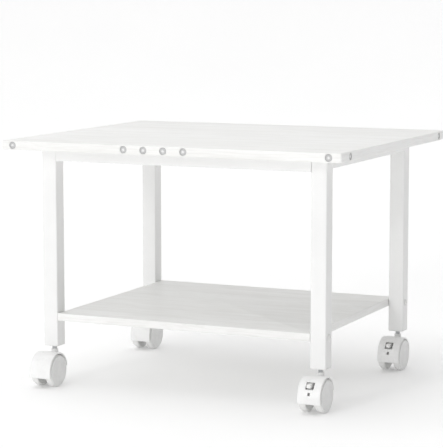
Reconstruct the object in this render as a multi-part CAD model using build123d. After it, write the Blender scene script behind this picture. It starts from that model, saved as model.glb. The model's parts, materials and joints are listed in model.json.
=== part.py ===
from build123d import *
import os

# A two-tier stand on casters: a wood-grain top board, four square-tube legs tied
# by top rails, a lower shelf held between the legs, and four twin-wheel casters.
# Millimetres. +Z is up, the front faces -Y, and the origin is on the floor under
# the middle of the top board.

# --- Boards ---
BOARD_WIDTH = 560.0
BOARD_DEPTH = 480.0
BOARD_THICKNESS = 14.0
OVERALL_HEIGHT = 388.0
BOARD_CORNER = 3.0
BOARD_EDGE = 0.8
SHELF_THICKNESS = 12.0
SHELF_TOP = 115.0
SHELF_FIT = 0.2

# --- Leg frame ---
SIDE_OVERHANG = 42.0
FRONT_OVERHANG = 51.0
BACK_OVERHANG = 59.0
LEG_SIZE = 25.0
LEG_BOTTOM = 62.0
TUBE_WALL = 1.2
TUBE_CORNER = 2.0
RAIL_DEPTH = 20.0
RAIL_HEIGHT = 20.0
SIDE_RAIL_HEIGHT = 16.0

# --- Leg inserts, which take the caster stems ---
INSERT_FLANGE = 1.5
INSERT_DEPTH = 24.0
INSERT_FIT = 0.1
INSERT_EDGE = 0.4

# --- Screws ---
SHANK_RADIUS = 2.0
HOLE_FIT = 0.1
HEAD_RADIUS = 5.2
HEAD_HEIGHT = 2.2
HEAD_ROUND = 1.2
SOCKET_WIDTH = 3.0
SOCKET_DEPTH = 1.3
BOARD_SCREW_GRIP = 10.0
BOARD_SCREW_SPREAD = 0.32
SHELF_SCREW_GRIP = 25.0
EDGE_SCREW_LENGTH = 20.0
HEAD_GAP = 0.5
EDGE_GROUP_CENTRE = -19.5
EDGE_GROUP_PITCH = 33.0
EDGE_GROUP_COUNT = 4
EDGE_END_INSET = 20.0
EDGE_SIDE_INSET = 36.0

# --- Casters ---
WHEEL_RADIUS = 25.0
WHEEL_INNER_X = 7.5
WHEEL_WIDTH = 10.0
WHEEL_ROUND = 1.6
HUB_RADIUS = 7.0
POCKET_OUTER_RADIUS = 19.0
POCKET_DEPTH = 5.5
DISC_RADIUS = 23.6
DISC_THICKNESS = 1.5
DISC_EDGE = 0.6
AXLE_OFFSET = 20.0
AXLE_RADIUS = 3.0
AXLE_HALF_LENGTH = 16.0
RUNNING_FIT = 0.05

HOOD_RADIUS = 29.0
HOOD_WALL = 2.4
HOOD_HALF_WIDTH = 18.2
HOOD_FRONT_EDGE = 16.0
HOOD_BACK_EDGE = 29.0
HOOD_TOP = 56.0
HOOD_ROUND = 0.8
BOSS_RADIUS = 9.0
BOSS_BOTTOM = 38.0
BOSS_TOP = 48.5
NECK_RADIUS = 5.5
WEB_HALF_WIDTH = 6.9
WEB_HUB_RADIUS = 15.0
WEB_FRONT = 17.0
WEB_BACK = 28.0

STEM_RADIUS = 4.0
STEM_BOTTOM = 39.0
STEM_EDGE = 0.6
BORE_BOTTOM = 38.2
RING_HEIGHT = 43.0
RING_THICKNESS = 1.4
RING_RADIUS = 5.3
RING_GROOVE_RADIUS = 3.3
RING_GAP = 0.4
RING_SLOT = 4.0

# --- Brake lever, on the two right-hand casters ---
PIVOT_FORWARD = 10.0
PIVOT_ABOVE_AXLE = 18.5
PIVOT_RADIUS = 1.5
LEVER_HALF_WIDTH = 3.2
LEVER_EYE_RADIUS = 3.4
LEVER_THICKNESS = 5.5
LEVER_REACH = 29.0
LEVER_ROUND = 0.9
WINDOW_HALF_WIDTH = 6.6
WINDOW_ABOVE = 4.1
WINDOW_BELOW = 5.5
WINDOW_DEPTH_GAP = 4.0
SLOT_HALF_WIDTH = 5.9
SLOT_BACK_GAP = 4.4
PEEP_HALF_WIDTH = 1.9
PEEP_HEIGHT = 4.6
PEEP_ABOVE_AXLE = 6.5

# --- Worked-out places ---
BOARD_BOTTOM = OVERALL_HEIGHT - BOARD_THICKNESS
LEG_OUTER_X = BOARD_WIDTH / 2 - SIDE_OVERHANG
LEG_INNER_X = LEG_OUTER_X - LEG_SIZE
LEG_X = LEG_OUTER_X - LEG_SIZE / 2
FRAME_FRONT_Y = -BOARD_DEPTH / 2 + FRONT_OVERHANG
FRAME_BACK_Y = BOARD_DEPTH / 2 - BACK_OVERHANG
FRONT_LEG_Y = FRAME_FRONT_Y + LEG_SIZE / 2
BACK_LEG_Y = FRAME_BACK_Y - LEG_SIZE / 2
FRAME_MIDDLE_Y = (FRAME_FRONT_Y + FRAME_BACK_Y) / 2
TUBE_BOTTOM = LEG_BOTTOM + INSERT_FLANGE
EDGE_Z = OVERALL_HEIGHT - BOARD_THICKNESS / 2
SHELF_Z = SHELF_TOP - SHELF_THICKNESS / 2
HOLE_RADIUS = SHANK_RADIUS + HOLE_FIT
SCREW_SEAT_Z = BOARD_BOTTOM - TUBE_WALL
AXLE_Z = WHEEL_RADIUS

CORNERS = {
    "front_left": (-LEG_X, FRONT_LEG_Y),
    "front_right": (LEG_X, FRONT_LEG_Y),
    "back_left": (-LEG_X, BACK_LEG_Y),
    "back_right": (LEG_X, BACK_LEG_Y),
}
BRAKED = ("front_right", "back_right")


# --- Small helpers ---
def rod(radius, start, length, direction):
    """A round bar from a point, along a direction."""
    plane = Plane(origin=start, z_dir=direction)
    return extrude(plane * Circle(radius), length)


def yz_slab(profile, half_width):
    """A profile drawn in Y and Z, extruded the same distance either way along X."""
    return extrude(Plane.YZ * profile, half_width, both=True)


def block(low, high):
    """A plain box between two opposite corners."""
    size = Vector(*high) - Vector(*low)
    middle = (Vector(*high) + Vector(*low)) / 2
    return Pos(*middle) * Box(size.X, size.Y, size.Z)


def button_screw(length):
    """A domed socket screw: the head's seat is at z=0 and the shank points down."""
    head = Cylinder(HEAD_RADIUS, HEAD_HEIGHT, align=(Align.CENTER, Align.CENTER, Align.MIN))
    head = fillet(head.edges().filter_by(GeomType.CIRCLE).sort_by(Axis.Z)[-1], HEAD_ROUND)
    socket = Pos(0, 0, HEAD_HEIGHT - SOCKET_DEPTH) * extrude(
        RegularPolygon(SOCKET_WIDTH / 2, 6, major_radius=False), SOCKET_DEPTH
    )
    shank = rod(SHANK_RADIUS, (0, 0, 0), length, (0, 0, -1))
    return head - socket + shank


def placed(solid, point, outward):
    """Turn a screw so that its head faces outward, with its seat at a point."""
    return Plane(origin=point, z_dir=outward).location * solid


def rounded_bar(width, depth, height, axis, corner):
    """A bar with the edges along one axis rounded."""
    bar = Box(width, depth, height)
    return fillet(bar.edges().filter_by(axis), corner)


# --- Screw places ---
def board_screw_places():
    """Two screws up through each top rail: (x and y, rail height)."""
    reach_x = BOARD_WIDTH * BOARD_SCREW_SPREAD
    reach_y = BOARD_DEPTH * BOARD_SCREW_SPREAD / 2
    rail_y = (FRAME_FRONT_Y + RAIL_DEPTH / 2, FRAME_BACK_Y - RAIL_DEPTH / 2)
    rail_x = LEG_OUTER_X - RAIL_DEPTH / 2
    places = []
    for side in (-1, 1):
        for y in rail_y:
            places.append(((side * reach_x, y), RAIL_HEIGHT))
        for end in (-1, 1):
            places.append(((side * rail_x, FRAME_MIDDLE_Y + end * reach_y), SIDE_RAIL_HEIGHT))
    return places


def shelf_screw_places():
    """One screw through each leg into the shelf's end: (point, outward direction)."""
    places = []
    for x, y in CORNERS.values():
        outward = 1 if x > 0 else -1
        places.append(((outward * LEG_OUTER_X, y, SHELF_Z), (outward, 0, 0)))
    return places


def edge_screw_places():
    """Screws let in flush round the board's edge: (point on the edge, outward)."""
    front_y = -BOARD_DEPTH / 2
    first_x = EDGE_GROUP_CENTRE - EDGE_GROUP_PITCH * (EDGE_GROUP_COUNT - 1) / 2
    front_x = [first_x + EDGE_GROUP_PITCH * i for i in range(EDGE_GROUP_COUNT)]
    end_x = BOARD_WIDTH / 2 - EDGE_END_INSET
    front_x += [-end_x, end_x]
    places = [((x, front_y, EDGE_Z), (0, -1, 0)) for x in front_x]
    for side in (-1, 1):
        for end in (-1, 1):
            y = end * (BOARD_DEPTH / 2 - EDGE_SIDE_INSET)
            places.append(((side * BOARD_WIDTH / 2, y, EDGE_Z), (side, 0, 0)))
    return places


# --- Boards ---
def make_top_board():
    board = rounded_bar(BOARD_WIDTH, BOARD_DEPTH, BOARD_THICKNESS, Axis.Z, BOARD_CORNER)
    rims = board.faces().sort_by(Axis.Z)[-1].edges() + board.faces().sort_by(Axis.Z)[0].edges()
    board = Pos(0, 0, EDGE_Z) * fillet(rims, BOARD_EDGE)
    for (x, y), _ in board_screw_places():
        board -= rod(HOLE_RADIUS, (x, y, BOARD_BOTTOM), BOARD_SCREW_GRIP + HOLE_FIT, (0, 0, 1))
    for point, outward in edge_screw_places():
        inward = Vector(*outward) * -1
        counterbore_radius = HEAD_RADIUS + HEAD_GAP
        board -= rod(counterbore_radius, point, HEAD_HEIGHT, inward)
        board -= rod(HOLE_RADIUS, point, HEAD_HEIGHT + EDGE_SCREW_LENGTH + HOLE_FIT, inward)
    return board


def make_lower_shelf():
    width = 2 * (LEG_INNER_X - SHELF_FIT)
    depth = FRAME_BACK_Y - FRAME_FRONT_Y
    shelf = rounded_bar(width, depth, SHELF_THICKNESS, Axis.X, BOARD_EDGE)
    shelf = Pos(0, FRAME_MIDDLE_Y, SHELF_Z) * shelf
    for (x, y, z), outward in shelf_screw_places():
        end = (outward[0] * LEG_INNER_X, y, z)
        shelf -= rod(HOLE_RADIUS, end, SHELF_SCREW_GRIP + HOLE_FIT, (-outward[0], 0, 0))
    return shelf


# --- Frame ---
def make_tube(width, depth, height, axis, open_size):
    """A hollow tube: its outside less a bar of open_size through it."""
    outside = rounded_bar(width, depth, height, axis, TUBE_CORNER)
    return outside - Box(*open_size)


def make_leg(corner):
    x, y = CORNERS[corner]
    height = BOARD_BOTTOM - TUBE_BOTTOM
    inside = LEG_SIZE - 2 * TUBE_WALL
    tube = make_tube(LEG_SIZE, LEG_SIZE, height, Axis.Z, (inside, inside, height))
    leg = Pos(x, y, TUBE_BOTTOM + height / 2) * tube
    leg -= rod(HOLE_RADIUS, (x - LEG_SIZE, y, SHELF_Z), 2 * LEG_SIZE, (1, 0, 0))
    return leg


def make_cross_rail(y):
    """A rail from left leg to right leg."""
    length = 2 * LEG_INNER_X
    open_size = (length, RAIL_DEPTH - 2 * TUBE_WALL, RAIL_HEIGHT - 2 * TUBE_WALL)
    tube = make_tube(length, RAIL_DEPTH, RAIL_HEIGHT, Axis.X, open_size)
    rail = Pos(0, y, BOARD_BOTTOM - RAIL_HEIGHT / 2) * tube
    return drill_rail(rail)


def make_side_rail(x):
    """A rail from front leg to back leg."""
    length = FRAME_BACK_Y - FRAME_FRONT_Y - 2 * LEG_SIZE
    open_size = (RAIL_DEPTH - 2 * TUBE_WALL, length, SIDE_RAIL_HEIGHT - 2 * TUBE_WALL)
    tube = make_tube(RAIL_DEPTH, length, SIDE_RAIL_HEIGHT, Axis.Y, open_size)
    rail = Pos(x, FRAME_MIDDLE_Y, BOARD_BOTTOM - SIDE_RAIL_HEIGHT / 2) * tube
    return drill_rail(rail)


def drill_rail(rail):
    """Screw holes in the upper wall, and wider holes below that let the heads in."""
    for (x, y), height in board_screw_places():
        rail -= rod(HOLE_RADIUS, (x, y, SCREW_SEAT_Z), TUBE_WALL, (0, 0, 1))
        rail -= rod(HEAD_RADIUS + HEAD_GAP, (x, y, BOARD_BOTTOM - height), TUBE_WALL, (0, 0, 1))
    return rail


def make_leg_insert(corner):
    x, y = CORNERS[corner]
    inside = LEG_SIZE - 2 * TUBE_WALL - 2 * INSERT_FIT
    plug = Pos(x, y, TUBE_BOTTOM + INSERT_DEPTH / 2) * Box(inside, inside, INSERT_DEPTH)
    flange = rounded_bar(LEG_SIZE, LEG_SIZE, INSERT_FLANGE, Axis.Z, TUBE_CORNER)
    flange = Pos(x, y, LEG_BOTTOM + INSERT_FLANGE / 2) * flange
    flange = chamfer(flange.faces().sort_by(Axis.Z)[0].edges(), INSERT_EDGE)
    bore = rod(STEM_RADIUS + RUNNING_FIT, (x, y, LEG_BOTTOM), INSERT_DEPTH + LEG_SIZE, (0, 0, 1))
    return plug + flange - bore


# --- Casters, drawn with the stem on the Z axis and the axle in front of it ---
def axle_point(x=0.0):
    return (x, -AXLE_OFFSET, AXLE_Z)


def axle_circle(radius):
    """A circle about the axle, drawn in Y and Z."""
    return Pos(-AXLE_OFFSET, AXLE_Z) * Circle(radius)


def yz_rectangle(y_low, y_high, z_low, z_high):
    middle = Pos((y_low + y_high) / 2, (z_low + z_high) / 2)
    return middle * Rectangle(y_high - y_low, z_high - z_low)


def make_boss(radius, top):
    """A round boss about the stem, with its top edge rounded."""
    boss = rod(radius, (0, 0, BOSS_BOTTOM), top - BOSS_BOTTOM, (0, 0, 1))
    return fillet(boss.edges().filter_by(GeomType.CIRCLE).sort_by(Axis.Z)[-1], HOOD_ROUND)


def make_hood(braked):
    """A curved cover over both wheels, with a middle web that holds stem and axle."""
    far_front = -AXLE_OFFSET - 2 * HOOD_RADIUS
    far_back = 2 * HOOD_RADIUS
    front_cut = yz_rectangle(far_front, -AXLE_OFFSET, -HOOD_RADIUS, HOOD_FRONT_EDGE)
    back_cut = yz_rectangle(-AXLE_OFFSET, far_back, -HOOD_RADIUS, HOOD_BACK_EDGE)
    cover = axle_circle(HOOD_RADIUS) - front_cut - back_cut
    hood = yz_slab(cover, HOOD_HALF_WIDTH)
    side_rims = hood.edges().filter_by(GeomType.CIRCLE)
    hood = fillet(side_rims, HOOD_ROUND)
    boss = make_boss(BOSS_RADIUS, BOSS_TOP) + make_boss(NECK_RADIUS, HOOD_TOP)
    hood += boss

    web_box = yz_rectangle(-AXLE_OFFSET - WEB_FRONT, -AXLE_OFFSET + WEB_BACK, AXLE_Z, HOOD_TOP)
    web = (web_box & axle_circle(HOOD_RADIUS)) + axle_circle(WEB_HUB_RADIUS)
    keep = yz_slab(web, WEB_HALF_WIDTH)
    boss_core = block(
        (-WEB_HALF_WIDTH, -BOSS_RADIUS, BOSS_BOTTOM), (WEB_HALF_WIDTH, BOSS_RADIUS, HOOD_TOP)
    )
    cavity = yz_slab(axle_circle(HOOD_RADIUS - HOOD_WALL), HOOD_HALF_WIDTH)
    hood = hood - (cavity - (boss_core & boss)) + keep

    hood -= rod(STEM_RADIUS + RUNNING_FIT, (0, 0, BORE_BOTTOM), HOOD_TOP, (0, 0, 1))
    pocket_bottom = RING_HEIGHT - RING_GAP
    pocket_height = RING_THICKNESS + 2 * RING_GAP
    hood -= rod(RING_RADIUS + RING_GAP, (0, 0, pocket_bottom), pocket_height, (0, 0, 1))
    hood -= rod(AXLE_RADIUS, axle_point(-HOOD_HALF_WIDTH), 2 * HOOD_HALF_WIDTH, (1, 0, 0))
    if braked:
        hood = cut_brake_window(hood)
    return hood


def cut_brake_window(hood):
    """A window in the cover, a slot in the web behind it, and a small peep hole."""
    pivot_y, pivot_z = pivot_place()
    front = -AXLE_OFFSET - 2 * HOOD_RADIUS
    low = pivot_z - WINDOW_BELOW
    high = pivot_z + WINDOW_ABOVE
    hood -= block(
        (-WINDOW_HALF_WIDTH, front, low), (WINDOW_HALF_WIDTH, pivot_y - WINDOW_DEPTH_GAP, high)
    )
    hood -= block(
        (-SLOT_HALF_WIDTH, front, low), (SLOT_HALF_WIDTH, pivot_y + SLOT_BACK_GAP, high)
    )
    peep_z = AXLE_Z + PEEP_ABOVE_AXLE
    hood -= block(
        (-PEEP_HALF_WIDTH, front, peep_z - PEEP_HEIGHT / 2),
        (PEEP_HALF_WIDTH, -AXLE_OFFSET - WEB_FRONT, peep_z + PEEP_HEIGHT / 2),
    )
    hood -= rod(PIVOT_RADIUS, (-WEB_HALF_WIDTH, pivot_y, pivot_z), 2 * WEB_HALF_WIDTH, (1, 0, 0))
    return hood


def pivot_place():
    return (-AXLE_OFFSET - PIVOT_FORWARD, AXLE_Z + PIVOT_ABOVE_AXLE)


def make_brake_lever():
    """A short tab that looks out of the hood's front and turns on a cross pin."""
    pivot_y, pivot_z = pivot_place()
    arm_top = pivot_z + LEVER_THICKNESS / 2
    arm_bottom = pivot_z - LEVER_THICKNESS / 2
    arm = yz_rectangle(-AXLE_OFFSET - LEVER_REACH, pivot_y, arm_bottom, arm_top)
    lever = yz_slab(arm + Pos(pivot_y, pivot_z) * Circle(LEVER_EYE_RADIUS), LEVER_HALF_WIDTH)
    nose = lever.faces().sort_by(Axis.Y)[0]
    lever = fillet(nose.edges(), LEVER_ROUND)
    start = (-LEVER_HALF_WIDTH, pivot_y, pivot_z)
    return lever - rod(PIVOT_RADIUS + RUNNING_FIT, start, 2 * LEVER_HALF_WIDTH, (1, 0, 0))


def make_brake_pin():
    pivot_y, pivot_z = pivot_place()
    return rod(PIVOT_RADIUS, (-WEB_HALF_WIDTH, pivot_y, pivot_z), 2 * WEB_HALF_WIDTH, (1, 0, 0))


def make_wheel(side):
    """A rim, a hub and a thin wall between them, cored out on the outer side."""
    inner = side * WHEEL_INNER_X
    outward = (side, 0, 0)
    wheel = rod(WHEEL_RADIUS, axle_point(inner), WHEEL_WIDTH, outward)
    wheel = fillet(wheel.edges().filter_by(GeomType.CIRCLE), WHEEL_ROUND)
    pocket_start = inner + side * (WHEEL_WIDTH - POCKET_DEPTH)
    pocket = rod(POCKET_OUTER_RADIUS, axle_point(pocket_start), POCKET_DEPTH, outward)
    pocket -= rod(HUB_RADIUS, axle_point(pocket_start), POCKET_DEPTH, outward)
    bore = rod(AXLE_RADIUS + RUNNING_FIT, axle_point(inner), WHEEL_WIDTH, outward)
    return wheel - pocket - bore


def make_wheel_disc(side):
    """The flat grey cover on the wheel's outer side."""
    start = side * (WHEEL_INNER_X + WHEEL_WIDTH)
    disc = rod(DISC_RADIUS, axle_point(start), DISC_THICKNESS, (side, 0, 0))
    outer_rim = disc.edges().filter_by(GeomType.CIRCLE).sort_by(Axis.X)[-1 if side > 0 else 0]
    return fillet(outer_rim, DISC_EDGE)


def make_axle():
    return rod(AXLE_RADIUS, axle_point(-AXLE_HALF_LENGTH), 2 * AXLE_HALF_LENGTH, (1, 0, 0))


def make_stem():
    """A threaded stud with a groove near its foot for the snap ring."""
    stem_top = LEG_BOTTOM + INSERT_DEPTH
    stem = rod(STEM_RADIUS, (0, 0, STEM_BOTTOM), stem_top - STEM_BOTTOM, (0, 0, 1))
    stem = chamfer(stem.edges().filter_by(GeomType.CIRCLE), STEM_EDGE)
    groove = rod(STEM_RADIUS, (0, 0, RING_HEIGHT), RING_THICKNESS, (0, 0, 1))
    groove -= rod(RING_GROOVE_RADIUS, (0, 0, RING_HEIGHT), RING_THICKNESS, (0, 0, 1))
    return stem - groove


def make_snap_ring():
    """An open ring that keeps the hood on its stem."""
    ring = rod(RING_RADIUS, (0, 0, RING_HEIGHT), RING_THICKNESS, (0, 0, 1))
    ring -= rod(RING_GROOVE_RADIUS, (0, 0, RING_HEIGHT), RING_THICKNESS, (0, 0, 1))
    slot_top = RING_HEIGHT + RING_THICKNESS
    ring -= block((-RING_SLOT / 2, 0, RING_HEIGHT), (RING_SLOT / 2, RING_RADIUS, slot_top))
    return ring


# --- Everything, node by node ---
def at_corners(make):
    """One group of separate solids, one under each leg."""
    return Compound(children=[Pos(x, y, 0) * make() for x, y in CORNERS.values()])


def frame_nodes():
    nodes = {
        "top_board": make_top_board(),
        "lower_shelf": make_lower_shelf(),
        "front_rail": make_cross_rail(FRAME_FRONT_Y + RAIL_DEPTH / 2),
        "back_rail": make_cross_rail(FRAME_BACK_Y - RAIL_DEPTH / 2),
        "left_rail": make_side_rail(-LEG_OUTER_X + RAIL_DEPTH / 2),
        "right_rail": make_side_rail(LEG_OUTER_X - RAIL_DEPTH / 2),
    }
    for corner in CORNERS:
        nodes[f"leg_{corner}"] = make_leg(corner)
    nodes["leg_inserts"] = Compound(children=[make_leg_insert(corner) for corner in CORNERS])
    nodes["caster_stems"] = at_corners(make_stem)
    nodes["stem_snap_rings"] = at_corners(make_snap_ring)
    return nodes


def screw_nodes():
    board_screw = button_screw(TUBE_WALL + BOARD_SCREW_GRIP)
    up = [
        placed(board_screw, (x, y, SCREW_SEAT_Z), (0, 0, -1))
        for (x, y), _ in board_screw_places()
    ]
    shelf_screw = button_screw(LEG_SIZE + SHELF_SCREW_GRIP)
    through = [placed(shelf_screw, point, outward) for point, outward in shelf_screw_places()]
    edge_screw = button_screw(EDGE_SCREW_LENGTH)
    edge = []
    for point, outward in edge_screw_places():
        seat = Vector(*point) - Vector(*outward) * HEAD_HEIGHT
        edge.append(placed(edge_screw, seat, outward))
    return {
        "board_screws": Compound(children=up),
        "shelf_screws": Compound(children=through),
        "edge_screws": Compound(children=edge),
    }


def caster_nodes(corner):
    x, y = CORNERS[corner]
    braked = corner in BRAKED
    pieces = {
        "hood": make_hood(braked),
        "axle": make_axle(),
        "wheel_left": make_wheel(-1),
        "wheel_right": make_wheel(1),
        "wheel_disc_left": make_wheel_disc(-1),
        "wheel_disc_right": make_wheel_disc(1),
    }
    if braked:
        pieces["brake_lever"] = make_brake_lever()
        pieces["brake_pin"] = make_brake_pin()
    return {f"{corner}_{name}": Pos(x, y, 0) * solid for name, solid in pieces.items()}


nodes = frame_nodes() | screw_nodes()
for corner in CORNERS:
    nodes |= caster_nodes(corner)

os.makedirs("parts", exist_ok=True)
for name, solid in nodes.items():
    export_step(solid, f"parts/{name}.step")
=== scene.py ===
import json
import math

import bmesh
import bpy
from mathutils import Matrix, Vector


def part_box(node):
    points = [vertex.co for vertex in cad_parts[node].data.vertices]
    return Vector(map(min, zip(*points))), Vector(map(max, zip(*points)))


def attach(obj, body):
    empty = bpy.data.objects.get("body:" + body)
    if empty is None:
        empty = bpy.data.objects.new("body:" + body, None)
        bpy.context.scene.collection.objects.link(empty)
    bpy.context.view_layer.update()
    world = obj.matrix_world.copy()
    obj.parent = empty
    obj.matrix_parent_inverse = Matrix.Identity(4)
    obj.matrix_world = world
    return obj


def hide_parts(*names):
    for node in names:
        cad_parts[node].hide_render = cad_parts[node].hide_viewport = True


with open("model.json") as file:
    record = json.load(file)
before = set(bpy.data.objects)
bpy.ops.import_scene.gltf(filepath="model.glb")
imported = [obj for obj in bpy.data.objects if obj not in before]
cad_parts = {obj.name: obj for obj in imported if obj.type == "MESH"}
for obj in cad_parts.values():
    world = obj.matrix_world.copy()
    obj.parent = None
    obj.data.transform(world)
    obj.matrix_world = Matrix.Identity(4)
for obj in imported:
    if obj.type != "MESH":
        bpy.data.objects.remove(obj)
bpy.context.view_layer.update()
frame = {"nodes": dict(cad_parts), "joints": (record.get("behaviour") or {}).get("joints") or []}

# The looks of a two-tier stand on casters, in metres. Every piece is built where its
# CAD node lies, and the driving sizes below are those that a box can't give.

MM = 0.001

# --- Boards ---
BOARD_CORNER = 3.0 * MM
SHELF_CORNER = 1.0 * MM
SMALLEST_CORNER = 0.3 * MM
BOARD_EDGE = 0.8 * MM
BOARD_EDGE_STEPS = 3
SEAM_INSET = 1.6 * MM
SEAM_DEPTH = 0.12 * MM
SEAM_WIDTH = 0.25 * MM
CORNER_STEPS = 6
SIDE_FACING = 0.75

# --- Tubes and their welds ---
TUBE_CORNER = 2.0 * MM
TUBE_WALL = 1.2 * MM
TUBE_END_ROUND = 0.25 * MM
WELD_REACH = 1.5 * MM
WELD_HOLLOW = 0.22
WELD_END_SHARE = 0.35
WELD_LEG_ROOT = 0.2 * MM
WELD_RAIL_ROOT = 0.3 * MM
WELD_RIPPLES = ((0.12, 2.3), (0.07, 5.1))
WELD_SIDE_STEPS = 14
WELD_BEND_STEPS = 6
WELD_SECTION_STEPS = 6
WELD_CREASE = 50.0

# --- Feet in the legs ---
INSERT_GAP = 0.1 * MM
INSERT_STEP = 0.05 * MM
INSERT_SOFT = 0.15 * MM
INSERT_ROUND = 0.5 * MM
DISH_OUTER = 3.2 * MM
DISH_INNER = 2.8 * MM
DISH_DEPTH = 0.6 * MM
DISH_BORE_DEPTH = 0.9 * MM

# --- All turned parts and cuts ---
FINE = 96
COARSE = 48
RIM_STEPS = 4
CREASE_ANGLE = 32.0
BEVEL_ANGLE = 35.0
BEVEL_SEGMENTS = 2
CUT_MARGIN = 1.0 * MM
JOIN_DISTANCE = 1e-7
CAD_JOIN_DISTANCE = 1e-6

# --- Screws ---
SHANK_RADIUS = 2.0 * MM
HEAD_RADIUS = 5.2 * MM
HEAD_HEIGHT = 2.2 * MM
HEAD_SOFT = 0.2 * MM
HEAD_GAP = 0.5 * MM
SCREW_TIP_SHARE = 0.55
SCREW_TIP_LENGTH = 0.8 * MM
DOME_START = 0.7 * MM
DOME_SWEEP = 1.02
DOME_STEPS = 6
SOCKET_RADIUS = 1.75 * MM
SOCKET_RIM = 0.35 * MM
SOCKET_LIP = 0.1 * MM
SOCKET_DEPTH = 1.3 * MM
STUD_TIP_SHARE = 0.5
STUD_TIP_LENGTH = 1.0 * MM
STUD_SINK = 1.0 * MM
# The stud's rim: below the head's top, and in from its edge, in millimetres.
STUD_RIM = ((0.5, 0.0), (0.2, 0.3), (0.25, 0.7), (0.9, 1.1), (1.0, 1.7))
BUTTON_RADIUS = 2.0 * MM
BUTTON_SOFT = 0.1 * MM
BUTTON_TIP = 0.05 * MM
BUTTON_BASE = 0.55 * MM
BUTTON_RISE = 0.5 * MM
BUTTON_STEPS = 8

# --- Caster stems ---
STEM_CHAMFER = 0.6 * MM
GROOVE_LOW = 4.0 * MM
GROOVE_HIGH = 5.4 * MM
GROOVE_DEPTH = 0.7 * MM
THREAD_PITCH = 1.25 * MM
THREAD_DEPTH = 0.6 * MM
THREAD_SHARPNESS = 1.3
THREAD_ROWS = 10
THREAD_BELOW_HOOD = 3.0 * MM
THREAD_ABOVE_FOOT = 2.0 * MM
THREAD_RUN_IN = 0.2 * MM
THREAD_RUN_OUT = 0.3 * MM

# --- Hoods ---
AXLE_OFFSET = 20.0 * MM
HOOD_RADIUS = 29.0 * MM
HOOD_WALL = 2.4 * MM
HOOD_CROWN = 0.25 * MM
CROWN_STEPS = 8
HOOD_FRONT_EDGE = 16.0 * MM
HOOD_BACK_EDGE = 29.0 * MM
HOOD_RIM = 1.0 * MM
HOOD_INNER_RIM = 0.35 * MM
INNER_RIM_STEPS = 2
HOOD_LIP = 0.5 * MM
LIP_SHARE = 0.62
LIP_NARROWING = 0.02
COVER_STEPS = 84
HOOD_BEVEL = 0.45 * MM
BOSS_RADIUS = 9.0 * MM
BOSS_BOTTOM = 36.0 * MM
BOSS_TOP = 48.5 * MM
BOSS_CHAMFER = 1.2 * MM
BOSS_RIM = 0.8 * MM
NECK_RADIUS = 5.5 * MM
NECK_FILLET = 0.9 * MM
WEB_HALF_WIDTH = 6.9 * MM
WEB_HUB_RADIUS = 15.0 * MM
WEB_HUB_STEPS = 36
WEB_FRONT = 17.0 * MM
WEB_BACK_ANGLE = 165.0
WEB_STEPS = 40
STEM_BORE = 4.1 * MM
BORE_BOTTOM = 38.2 * MM
BORE_HEIGHT = 30.0 * MM
POCKET_BOTTOM = 42.6 * MM
POCKET_HEIGHT = 2.2 * MM
POCKET_RADIUS = 5.7 * MM
WINDOW_HALF_WIDTH = 6.6 * MM
WINDOW_ABOVE = 4.1 * MM
WINDOW_BELOW = 5.5 * MM
WINDOW_DEPTH_GAP = 4.0 * MM
SLOT_HALF_WIDTH = 5.9 * MM
SLOT_BACK_GAP = 4.4 * MM
PEEP_HALF_WIDTH = 1.9 * MM
PEEP_HALF_HEIGHT = 2.3 * MM
PEEP_ABOVE_AXLE = 6.5 * MM

# --- Wheels ---
WHEEL_RADIUS = 25.0 * MM
WHEEL_ROUND = 1.6 * MM
WHEEL_LIP = 1.3 * MM
WHEEL_BORE = 3.05 * MM
WHEEL_HUB = 8.0 * MM
PARTING_RISE = 0.06 * MM
PARTING_HALF = 0.35 * MM
# The inner side, in millimetres: its depth, and the distance out from the hub's radius
# or in from the wheel's.
HUB_FACE = ((0.0, -0.3), (0.3, 0.0), (1.1, 0.5), (1.3, 1.5))
RIM_FACE = ((1.3, 4.4), (1.0, 3.9), (0.2, 3.4))
DISC_TIP = 0.2 * MM
DISC_SOFT = 0.1 * MM
DISC_ROUND = 0.6 * MM
# The disc's rim, in millimetres: below its face, and in from its edge.
DISC_RIM = ((0.0, 1.9), (0.16, 2.15), (0.3, 2.5), (0.3, 5.0))
DISC_DOME = 0.28 * MM
DISC_DISH_END = 2.2 * MM
DISC_DISH_STEPS = 8
DISC_EYE_DEPTH = 0.14 * MM
DISC_EYE_RADIUS = 1.9 * MM
AXLE_CHAMFER = 0.5 * MM

# --- Brakes ---
PIVOT_CHAMFER = 0.2 * MM
LEVER_HALF_THICKNESS = 2.75 * MM
LEVER_BEVEL = 0.35 * MM
EYE_BORE = 1.55 * MM
EYE_BORE_REACH = 10.0 * MM
RIB_COUNT = 3
RIB_PITCH = 1.5 * MM
RIB_DEPTH = 0.45 * MM
RIB_START = 1.3 * MM
# How far the nose's upper and lower corners are cut, along Y and along Z.
NOSE_TOP = (0.5 * MM, 0.8 * MM)
NOSE_LOW = (0.9 * MM, 1.1 * MM)

# --- Stage, lights and camera ---
FLOOR_HALF_WIDTH = 14.0
FLOOR_FRONT = -9.0
FLOOR_BEND = 4.0
FLOOR_CURVE = 4.0
FLOOR_STEPS = 32
FLOOR_CREASE = 60.0
BACKDROP_HEIGHT = 12.0
# The floor's glow, which is painted light: its strength near and far, and the distances in metres
# over which it rises.
GLOW_RANGE = (0.12, 0.27)
GLOW_REACH = (0.3, 3.0)
SHADE_SIDE = (0.97, -0.05, -0.1)
SHADE_FULL = 0.9
SKY_BRIGHT = 0.8
SKY_DIM = 0.3
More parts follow.
